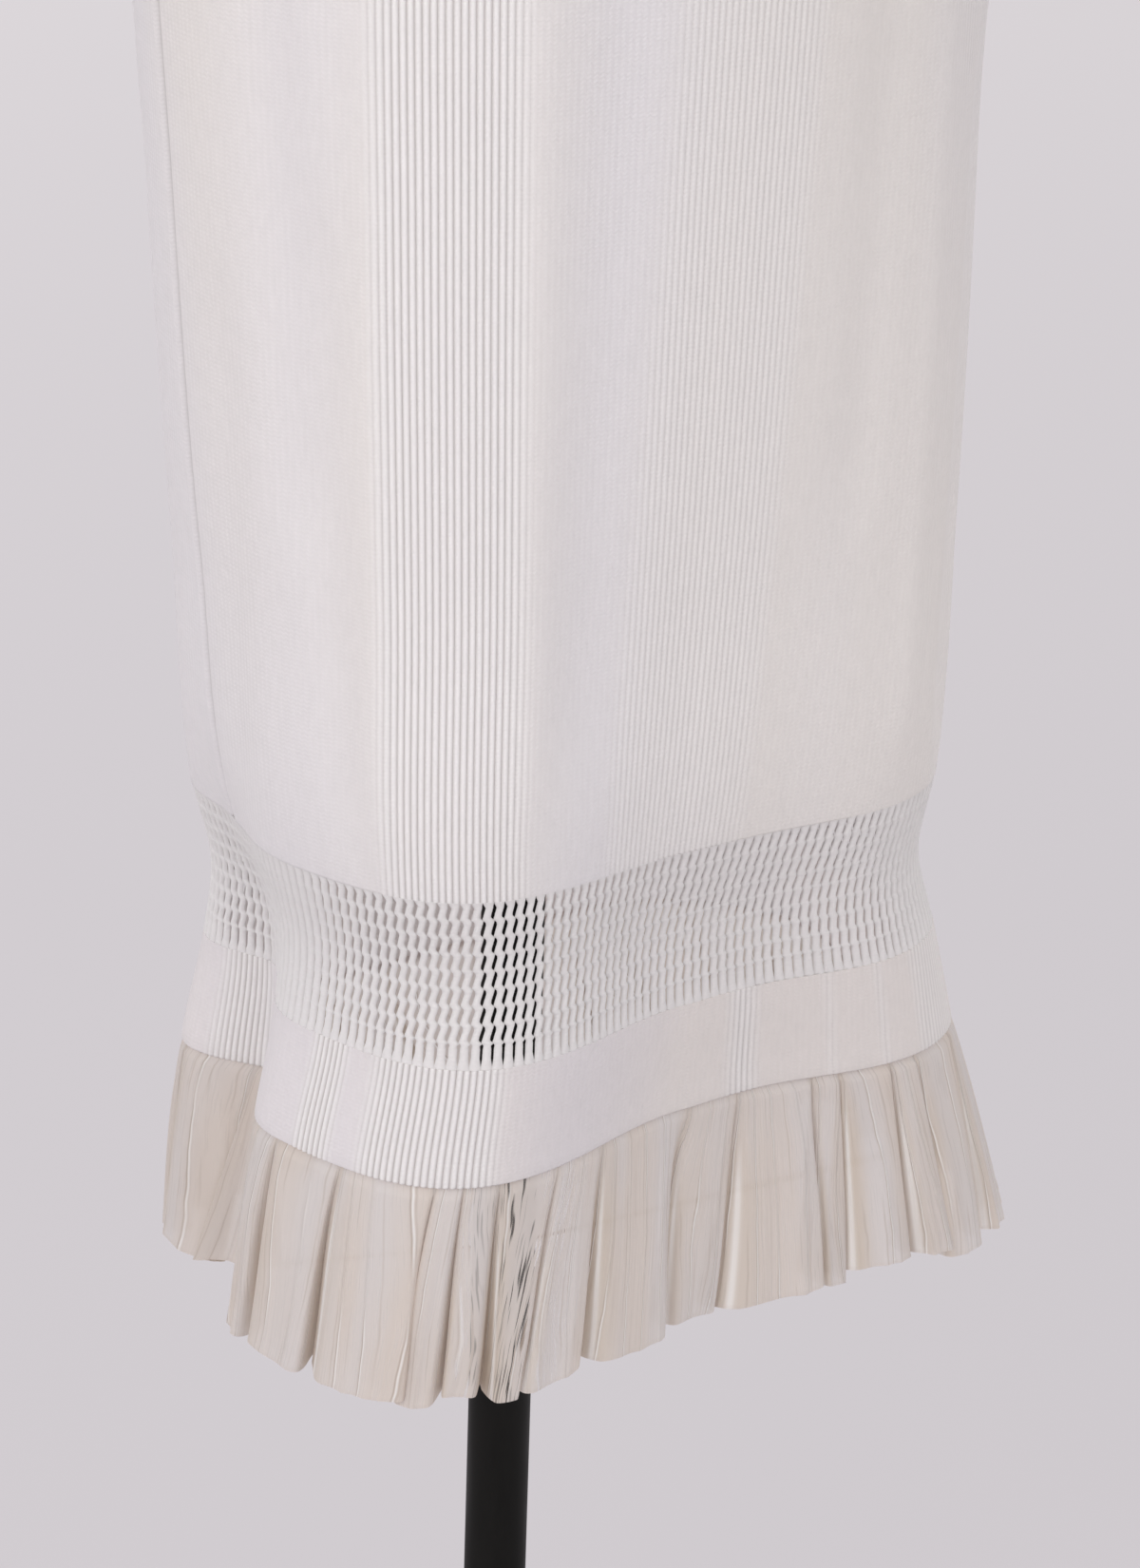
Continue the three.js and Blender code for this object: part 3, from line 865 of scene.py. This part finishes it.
def openwork(name, start, end, material):
    """A net of kinked strands that merge into the ribs above and below it."""
    foot, top = OPENWORK_FOOT + JOIN_GAP / 2, OPENWORK_HEAD - JOIN_GAP / 2
    first = top - SLOT_TOP
    below = first - SLOT_ROWS * SLOT_ROW
    z = openwork_rows(top, first, below, foot)
    fall = (first - z) / SLOT_ROW
    swinging = window(z, below + SWING_MARGIN, first - SWING_MARGIN, SWING_FADE)
    swinging = swinging * (fall >= 0) * (fall < SLOT_ROWS)
    from_swell = (fall - STRAND_SWELL_AT + 0.5) % 1.0 - 0.5
    swell = STRAND_SWELL * bell(from_swell / STRAND_SWELL_REACH) * swinging
    swell = np.where(z < below, STRAIGHT_SWELL, swell)[:, None]
    from_head, into_foot = (top - z) / RIB_MERGE, (below - LAST_SLOTS - z) / RIB_MERGE
    merge = np.maximum(1 - np.clip(from_head, 0, 1), np.clip(into_foot, 0, 1))
    merge = np.clip(MERGE_HASTE * merge, 0, 1)[:, None]
    centres = (np.arange(STRANDS) + 0.5) / STRANDS
    angles, length = even_angles(start, end, z, centres)
    length = length[:, None]
    shift = (KINK_SWING / 2 * swing(fall) * swinging)[:, None]
    shift = shift * openness(angles) * kinking(angles)
    calm = (1 - kinking(angles)) / CALM_SHARE
    width = STRAND_FILL + CALM_FILL * calm + swell
    width = width + (1 - width) * (1 - openness(angles)) * CLOSED_FILL
    width = width + (MERGED_FILL - width) * merge**MERGE_CURVE
    width = length / STRANDS / 2 * width
    run = centres * length + shift
    shares = np.stack([(run + across * width) / length for across in STRAND_SECTION[:, 0]], -1)
    depths = STRAND_SECTION[:, 1] * (STRAND_THICK * (1 - MERGED_THINNING * merge))
    depths = np.tile(depths, STRANDS)
    points = on_cloth(start, end, z, shares.reshape(len(z), -1), STRAND_BACK - depths)
    strands = points.reshape(len(z), STRANDS, AROUND, 3).swapaxes(0, 1).reshape(-1, 3)
    last = (len(z) - 1) * AROUND
    tube = [grid_faces(len(z), AROUND, True), STRAND_CAP, STRAND_CAP[:, ::-1] + last]
    faces = repeated(np.concatenate(tube), STRANDS, len(z) * AROUND, 0)
    # Painted shade on the strands' sides and backs, by their paleness.
    painted_paleness = STRAND_SECTION[:, 2] / 2
    knit = np.broadcast_arrays(painted_paleness, (z / STITCH)[:, None], OPENWORK_STRENGTH)
    knit = np.tile(np.stack(knit, axis=-1).reshape(-1, 3), (STRANDS, 1))
    yarns, yarn_faces = bridges(start, end, first, len(strands))
    yarn_knit = np.broadcast_to([BRIDGE_PAINTED_PALENESS, 0.0, OPENWORK_STRENGTH], yarns.shape)
    marks = {"knit": np.concatenate([knit, yarn_knit]).T}
    points = np.concatenate([strands, yarns])
    return make_piece(name, points, [faces, yarn_faces], marks, material)


def on_cloth(start, end, z, shares, out):
    """Points on the cloth at shares of its length at each z, moved out."""
    _, surface, length = measured(start, end, z)
    square = outward(surface)
    points = np.empty((*shares.shape, 3))
    for j, height in enumerate(z):
        at = np.clip(shares[j], 0, 1) * length[j, -1]
        for axis in range(2):
            place, way = (np.interp(at, length[j], v[j, :, axis]) for v in (surface, square))
            points[j, :, axis] = place + way * out[j]
        points[j, :, 2] = height
    return points


def bridges(start, end, first, offset):
    """The short yarns that tie each strand to the next where it kinks, and their faces:
    offset points come before theirs."""
    kinks = first - (np.arange(SLOT_ROWS) + (KINK_START + 1) / 2) * SLOT_ROW
    z = (kinks[:, None] + BRIDGE_SECTION[:, 0] * BRIDGE_SIZE).ravel()
    out = np.tile(-BRIDGE_BEHIND + BRIDGE_SECTION[:, 1] * BRIDGE_SIZE, SLOT_ROWS)
    gaps = np.arange(1, STRANDS)
    shares = ((gaps[:, None] + BRIDGE_STATIONS) / STRANDS).ravel()
    points = on_cloth(start, end, z, np.broadcast_to(shares, (len(z), len(shares))), out)
    sides, stations = len(BRIDGE_SECTION), len(BRIDGE_STATIONS)
    points = points.reshape(SLOT_ROWS, sides, len(gaps), stations, 3).transpose(0, 2, 3, 1, 4)
    yarn = np.concatenate([grid_faces(stations, sides, True), BRIDGE_CAPS])
    faces = repeated(yarn, SLOT_ROWS * len(gaps), stations * sides, offset)
    return points.reshape(-1, 3), faces


for side, ends in HALVES.items():
    pieces[f"{side}_openwork"] = openwork(f"{side}_openwork_knit", *ends, openwork_knit)

# ---- frill

FRILL_ROWS = 46
FLUTE_COLUMNS = 54
FLUTE_CROWDING = 0.86  # of its columns towards a flute's pinched edges
FRILL_TUCK = 2.4  # height of the frill's head inside the hem band
FRILL_ROW_CROWDING = 1.15  # of its rows towards the seam
FRILL_INSIDE = -2.0  # how far in from the hem band's face it is sewn
FRILL_EMERGE = 4.5  # height over which it comes out from there
FRILL_EMERGE_BELOW = 0.1
CALM_ENDS = 6.0  # length beside the side seams where it lies calm
PANEL_LENGTH = 7.0  # of the flat panels between its creases
PANEL_DEPTH = 1.5
PANEL_MIDDLE = 0.4
WRINKLE_LENGTH = 2.6
WRINKLE_DEPTH = 0.28
SWELL_LENGTH = 24.0
SWELL_DEPTH = 0.8
FRILL_SLACK = 0.7  # how far behind the hem band's face it hangs at first
SLACK_FADE, WAVE_GROWTH = 4, 3  # powers of the way up, and of the way down
HEM_WAVE, HEM_WAVE_LENGTH = 2.1, 19
HEM_FRAY = 0.2
HEM_LIFT = 0.5  # share of the height that the hem gains where it stands out
FOLD_AT_SEAM = 0.3  # how warm its folds are there, from doubled layers and painted shade
EDGE_SHOWS_FROM = (0.05, 0.4)  # share of the fall
EDGE_SHOWS_OVER = 0.25
BAND_WARMTH = (0.3, 0.8)
BAND_AT_SEAM = 0.25
FAR_BAND, FAR_BAND_REACH = 0.6, 0.5  # the weaker, narrower warm band, partly painted shade, at a flute's far edge
EDGE_LINE = 0.3  # how pinched a flute is at its painted highlight line
EDGE_LINE_WIDTH = 0.1
WARM_FROM = 0.08  # share of a flute before the warm band beside that line, partly painted shade
WARM_REACH = 0.13
FRILL_TWIST = 6.0  # degrees that its folds lean towards the wearer's right
FRILL_TWIST_SPREAD = (0.45, 1.4)
SHEER_AT = -29.0  # where its crinkles let the most through
SHEER_SPREAD = 7.5
SHEER_ELSEWHERE = 0.12
SEED = 20


def smooth_noise(at, generator):
    """Smooth noise from about -1 to 1, with a wave for each unit of at."""
    low = int(np.floor(at.min())) - 1
    values = generator.uniform(-1, 1, int(np.ceil(at.max())) - low + 4)
    i, f = np.floor(at).astype(int) - low - 1, at % 1.0
    middle = (3 * f**3 - 6 * f**2 + 4, -3 * f**3 + 3 * f**2 + 3 * f + 1)
    weights = ((1 - f) ** 3, *middle, f**3)
    return sum(weight * values[i + k] for k, weight in enumerate(weights)) / 3


def flute_edges(t, pinch, fall, show, warm):
    """How near each point is to the painted highlight line along its flute's edge, and how far
    in the warm band beyond it, of doubled layers and painted shade."""
    shown = np.clip((fall - show) / EDGE_SHOWS_OVER, 0, 1)
    near = bell((pinch - EDGE_LINE) / EDGE_LINE_WIDTH) * (t < 0.5)
    band = bell(np.maximum(t - WARM_FROM, 0) / WARM_REACH)
    far_band = FAR_BAND * bell((1 - t) / WARM_REACH / FAR_BAND_REACH)
    warmth = BAND_AT_SEAM + (1 - BAND_AT_SEAM) * shown
    return shown * near, warmth * warm * np.maximum(band, far_band)


def flute_starts(numbers):
    """Where flutes start, their numbers running on past the table for another turn."""
    return FLUTES[numbers % len(FLUTES), 0] + FULL_TURN * (numbers // len(FLUTES))


def flute_columns(numbers):
    """For each column of the frill: its flute, its share of that flute, its angle."""
    starts, ends = flute_starts(numbers), flute_starts(numbers + 1)
    step = np.linspace(0, 1, FLUTE_COLUMNS, endpoint=False)
    step = step - FLUTE_CROWDING * np.sin(2 * np.pi * step) / (2 * np.pi)
    count = len(numbers)
    which = np.append(np.repeat(np.arange(count), FLUTE_COLUMNS), count - 1)
    t = np.append(np.tile(step, count), 1.0)
    angle = starts[which] + (ends - starts)[which] * t
    return which, t, np.clip(angle, starts[0] + SEAM_GAP_ANGLE, ends[-1] - SEAM_GAP_ANGLE)


def frill(name, numbers, seed, material):
    """Half of the frill: a fluted, crinkled sheet sewn inside the hem band's edge."""
    generator = np.random.default_rng(seed)
    which, t, angle = flute_columns(numbers)
    count = len(numbers)
    height = BAND_HEM - FRILL_HEM
    z = BAND_HEM - height * np.linspace(0, 1, FRILL_ROWS) ** FRILL_ROW_CROWDING
    z = np.concatenate([[BAND_HEM + FRILL_TUCK, BAND_HEM + FRILL_TUCK / 2], z])
    fall = np.clip((BAND_HEM - z) / height, 0, 1)[:, None]
    share = FLUTE_DEPTH_AT_SEAM + (1 - FLUTE_DEPTH_AT_SEAM) * fall**FLUTE_GROWTH
    pinch = np.abs(2 * t - 1) ** FLUTE_PINCH
    stand, depth, lean = (FLUTES[numbers[which] % len(FLUTES), k] for k in (1, 2, 3))
    rise = share * (depth * (1 - pinch))
    out = share * (stand - depth) + rise
    twists = FRILL_TWIST * generator.uniform(*FRILL_TWIST_SPREAD, count + 1)
    twists[[0, -1]] = 0
    twist = twists[which] + (twists[1:] - twists[:-1])[which] * t
    rows_angle = angle + twist * (1 - fall)
    inwards = fold_depth(rows_angle, z)
    hem = section(rows_angle[-1:], z[-1:], out[-1:] - inwards[-1:])[0]
    run = np.concatenate([[0], np.cumsum(np.hypot(*np.diff(hem, axis=0).T))])
    calm = np.clip(np.minimum(run, run[-1] - run) / CALM_ENDS, 0, 1)
    high, low = (smooth_noise(run / PANEL_LENGTH, generator) for _ in range(2))
    panels = high * (1 - fall) + low * fall
    wrinkled = smooth_noise(run / WRINKLE_LENGTH, generator)
    swell = smooth_noise(run / SWELL_LENGTH, generator)
    texture = PANEL_DEPTH * (PANEL_MIDDLE - np.abs(panels)) + WRINKLE_DEPTH * wrinkled
    out = out + calm * fall * (texture + SWELL_DEPTH * swell)
    out = out - FRILL_SLACK * (1 - fall) ** SLACK_FADE
    emerge = softly((BAND_HEM - FRILL_EMERGE_BELOW - z) / FRILL_EMERGE)[:, None]
    out = FRILL_INSIDE * (1 - emerge) + out * emerge
    line = section(rows_angle, z, out - inwards)
    onward = unit(np.gradient(section(rows_angle, z, -inwards), axis=1))
    line = line + onward * (lean * rise * calm * emerge)[..., None]
    lift = np.hypot(height, np.abs(out)) - height
    waves = HEM_WAVE * smooth_noise(run / HEM_WAVE_LENGTH, generator) + HEM_FRAY * wrinkled
    heights = z[:, None] + fall**WAVE_GROWTH * (waves * calm + HEM_LIFT * lift)
    show = generator.uniform(*EDGE_SHOWS_FROM, count)[which]
    warm = generator.uniform(*BAND_WARMTH, count)[which]
    edge_highlight, band = flute_edges(t, pinch, fall, show, warm)
    # Warm folds: partly the doubled layers, partly painted shade.
    fold = np.clip(pinch * (FOLD_AT_SEAM + (1 - FOLD_AT_SEAM) * fall) + band, 0, 1)
    near = bell(turn_from(angle, SHEER_AT) / SHEER_SPREAD, FLAT_TOPPED)
    sheer = np.maximum(near, SHEER_ELSEWHERE)
    marks = {
        "crinkle": (fold, edge_highlight, fall),
        "cut": (run, z[:, None], 0.0),
        "sheer": (sheer, sheer, sheer),
    }
    faces = grid_faces(len(z), len(t), False)[:, ::-1]
    return make_piece(name, with_heights(line, heights), [faces], marks, material)


def nearest_flute(seam):
    return int(np.argmin(np.abs(FLUTES[:, 0] - seam)))


right_start, left_start = nearest_flute(RIGHT_SEAM), nearest_flute(LEFT_SEAM)
FRILL_RUNS = {
    "front": np.arange(right_start, left_start),
    "back": np.arange(left_start, right_start + len(FLUTES)),
}
for number, (side, run) in enumerate(FRILL_RUNS.items()):
    pieces[f"{side}_frill"] = frill(f"{side}_frill_chiffon", run, SEED + number, frill_chiffon)

# ---- form, pole, base

FORM_COLUMNS = 180
FORM_ROWS = 70
FORM_SEAMS = (0, 90, 180, 270)
FORM_SEAM_DEPTH = 0.7
FORM_SEAM_WIDTH = 0.9
# Sizes of the rings that close the form over its top and under its foot.
FORM_TOP_RINGS = (0.66, 0.33)
FORM_FOOT_RINGS = (0.15, 0.5, 0.97)


def closed_loft(name, rings, material):
    """A closed body through rings of points at rising heights, its ends fanned shut."""
    rows, columns = rings.shape[:2]
    points = np.concatenate([rings.reshape(-1, 3), rings[[0, -1]].mean(axis=1)])
    i = np.arange(columns)
    right = (i + 1) % columns
    top = (rows - 1) * columns
    foot_centre, top_centre = rows * columns, rows * columns + 1
    fans = [
        np.stack([right, i, np.full(columns, foot_centre)], axis=-1),
        np.stack([top + i, top + right, np.full(columns, top_centre)], axis=-1),
    ]
    return make_piece(name, points, [grid_faces(rows, columns, True), *fans], {}, material)


def skirt_form(name, material):
    """A smooth limbless form, closed at both ends, with four seams in its cover."""
    along = np.concatenate([[0], np.cumsum(np.hypot(*np.diff(FORM_PROFILE, axis=0).T))])
    at = np.linspace(0, along[-1], FORM_ROWS)
    z, inset = (np.interp(at, along, column) for column in FORM_PROFILE.T)
    angles = np.arange(FORM_COLUMNS) * FULL_TURN / FORM_COLUMNS
    angles = np.broadcast_to(angles, (FORM_ROWS, FORM_COLUMNS))
    seam = sum(bell(turn_from(angles, s) / FORM_SEAM_WIDTH) for s in FORM_SEAMS)
    out = -inset[:, None] - FORM_SEAM_DEPTH * seam
    rings = with_heights(section(angles, np.minimum(z, WAIST), out), z[:, None])
    foot, top = rings[0], rings[-1]
    feet = [foot.mean(axis=0) * (1 - share) + foot * share for share in FORM_FOOT_RINGS]
    caps = [top.mean(axis=0) + (top - top.mean(axis=0)) * share for share in FORM_TOP_RINGS]
    return closed_loft(name, np.array([*feet, *rings, *caps]), material)


def lathed(name, profile, columns, material):
    """A closed body turned round the pole's line: profile is radius, height, rising."""
    angles = np.radians(np.arange(columns) * FULL_TURN / columns)
    ring = np.stack([np.sin(angles), -np.cos(angles), np.zeros(columns)], axis=-1)
    rings = [ring * radius + [0, 0, height] for radius, height in profile]
    return closed_loft(name, np.array(rings), material)


POLE_RADIUS = 12.5
POLE_FOOT = 12.3
POLE_HEAD = 739.7
POLE_CHAMFER = 0.6
POLE_CORE = 4  # radius of the inmost ring of its ends
POLE_RINGS = np.linspace(POLE_FOOT + 10, POLE_HEAD - 10, 24)
POLE_COLUMNS, BASE_COLUMNS = 96, 192
pole_profile = [
    (POLE_CORE, POLE_FOOT),
    (POLE_RADIUS - POLE_CHAMFER, POLE_FOOT),
    (POLE_RADIUS - POLE_CHAMFER / 4, POLE_FOOT + POLE_CHAMFER / 3),
    (POLE_RADIUS, POLE_FOOT + POLE_CHAMFER),
    *((POLE_RADIUS, z) for z in POLE_RINGS),
    (POLE_RADIUS, POLE_HEAD - POLE_CHAMFER),
    (POLE_RADIUS - POLE_CHAMFER, POLE_HEAD),
    (POLE_CORE, POLE_HEAD),
]
base_profile = [
    (40, 0), (147.5, 0), (148.5, 0.05), (149.6, 0.6), (150, 1.6), (150, 6.2),
    (149.6, 7.6), (148.6, 8.5), (147, 9), (145.5, 9), (90, 9), (26, 9),
    (24.3, 9.1), (23.6, 9.7), (22.4, 11.3), (21.6, 11.9), (20.6, 12), (8, 12),
]
pieces["skirt_form"] = skirt_form("skirt_form_cover", form_cover)
pieces["pole"] = lathed("pole_tube", pole_profile, POLE_COLUMNS, stand_paint)
pieces["base"] = lathed("base_plate", base_profile, BASE_COLUMNS, stand_paint)

for cad_node, piece in pieces.items():
    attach(piece, "root")
    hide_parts(cad_node)

# ---- floor, light, camera

FLOOR_SIZE = 16000.0
FLOOR_AWAY = (0.5, 0.866)  # the way that its glow changes
FLOOR_GLOW = ((208, 203, 207), (218, 213, 216))
FLOOR_FADE = (1.0, 3.4)  # in metres along that way
FLOOR_STRENGTH = (-0.6, 0.6, 1.1, 1.05)  # by the metres across it
FLOOR_MATT, FLOOR_MATT_SHARE = (150, 147, 150), 0.12


def floor_material(name):
    """A pale seamless floor that glows nearly evenly, its glow painted a little brighter farther
    off and to one side as studio light would fall; only its small matt share takes a faint soft
    shadow.
    """
    s = Shading(name)
    x, y, _ = s.parts(s.coordinates())
    away = s.maths("MULTIPLY_ADD", x, FLOOR_AWAY[0], s.product(y, FLOOR_AWAY[1]))
    across = s.maths("MULTIPLY_ADD", y, -FLOOR_AWAY[0], s.product(x, FLOOR_AWAY[1]))
    glow = s.mixed(s.ranged(away, *FLOOR_FADE), *map(linear, FLOOR_GLOW))
    strength = s.ranged(across, *FLOOR_STRENGTH)
    emission = s.node("Emission", {"Color": glow, "Strength": strength})[0]
    matt = s.node("BsdfDiffuse", {"Color": linear(FLOOR_MATT), "Roughness": 1.0})[0]
    return s.finish(s.both(FLOOR_MATT_SHARE, emission, matt))


corners = np.array([(-1, -1, 0), (1, -1, 0), (1, 1, 0), (-1, 1, 0)]) * FLOOR_SIZE / 2
floor = make_piece(
    "studio_floor", corners, [np.array([(0, 1, 2, 3)])], {}, floor_material("studio_floor")
)

WORLD_STRENGTH = 0.925
world = bpy.data.worlds.new("studio")
world.use_nodes = True
background = world.node_tree.nodes["Background"].inputs
background["Color"].default_value = (1.0, 1.0, 1.0, 1.0)
background["Strength"].default_value = WORLD_STRENGTH
bpy.context.scene.world = world

# Each light's place, target, size, power and colour.
LIGHTS = {
    "key": ((-3.1, -1.4, 2.0), (0, 0, 0.6), 2.2, 57.0, (1.0, 0.998, 1.0)),
    "fill": ((0.8, -3.2, 1.6), (0, 0, 0.5), 2.4, 24.0, (0.99, 0.99, 1.0)),
}
for name, (place, target, size, power, colour) in LIGHTS.items():
    light = bpy.data.lights.new(name, "AREA")
    light.shape = "SQUARE"
    light.size = size
    light.energy = power
    light.color = colour
    lamp = bpy.data.objects.new(name, light)
    lamp.location = place
    lamp.rotation_euler = (Vector(target) - Vector(place)).to_track_quat("-Z", "Y").to_euler()
    bpy.context.scene.collection.objects.link(lamp)

AZIMUTH = -30.0
ELEVATION = 20.0
DISTANCE = 2.275
AIM_HEIGHT = 0.446
AIM_RIGHT = 0.0206
ROLL = 1.8
LENS = 135.0
SENSOR = 36.0

turn, tilt, roll = (math.radians(a) for a in (AZIMUTH, ELEVATION, ROLL))
back = Vector((math.sin(turn) * math.cos(tilt), -math.cos(turn) * math.cos(tilt), math.sin(tilt)))
right = Vector((math.cos(turn), math.sin(turn), 0.0))
up = back.cross(right)
place = Vector((0, 0, AIM_HEIGHT)) + right * AIM_RIGHT + back * DISTANCE
rolled_right = right * math.cos(roll) + up * math.sin(roll)
rolled_up = up * math.cos(roll) - right * math.sin(roll)
camera_data = bpy.data.cameras.new("camera")
camera_data.lens = LENS
camera_data.sensor_width = SENSOR
camera = bpy.data.objects.new("camera", camera_data)
camera.matrix_world = Matrix.Translation(place) @ Matrix(
    (rolled_right, rolled_up, back)
).transposed().to_4x4()
bpy.context.scene.collection.objects.link(camera)
bpy.context.scene.camera = camera
bpy.context.scene.view_settings.view_transform = "Standard"
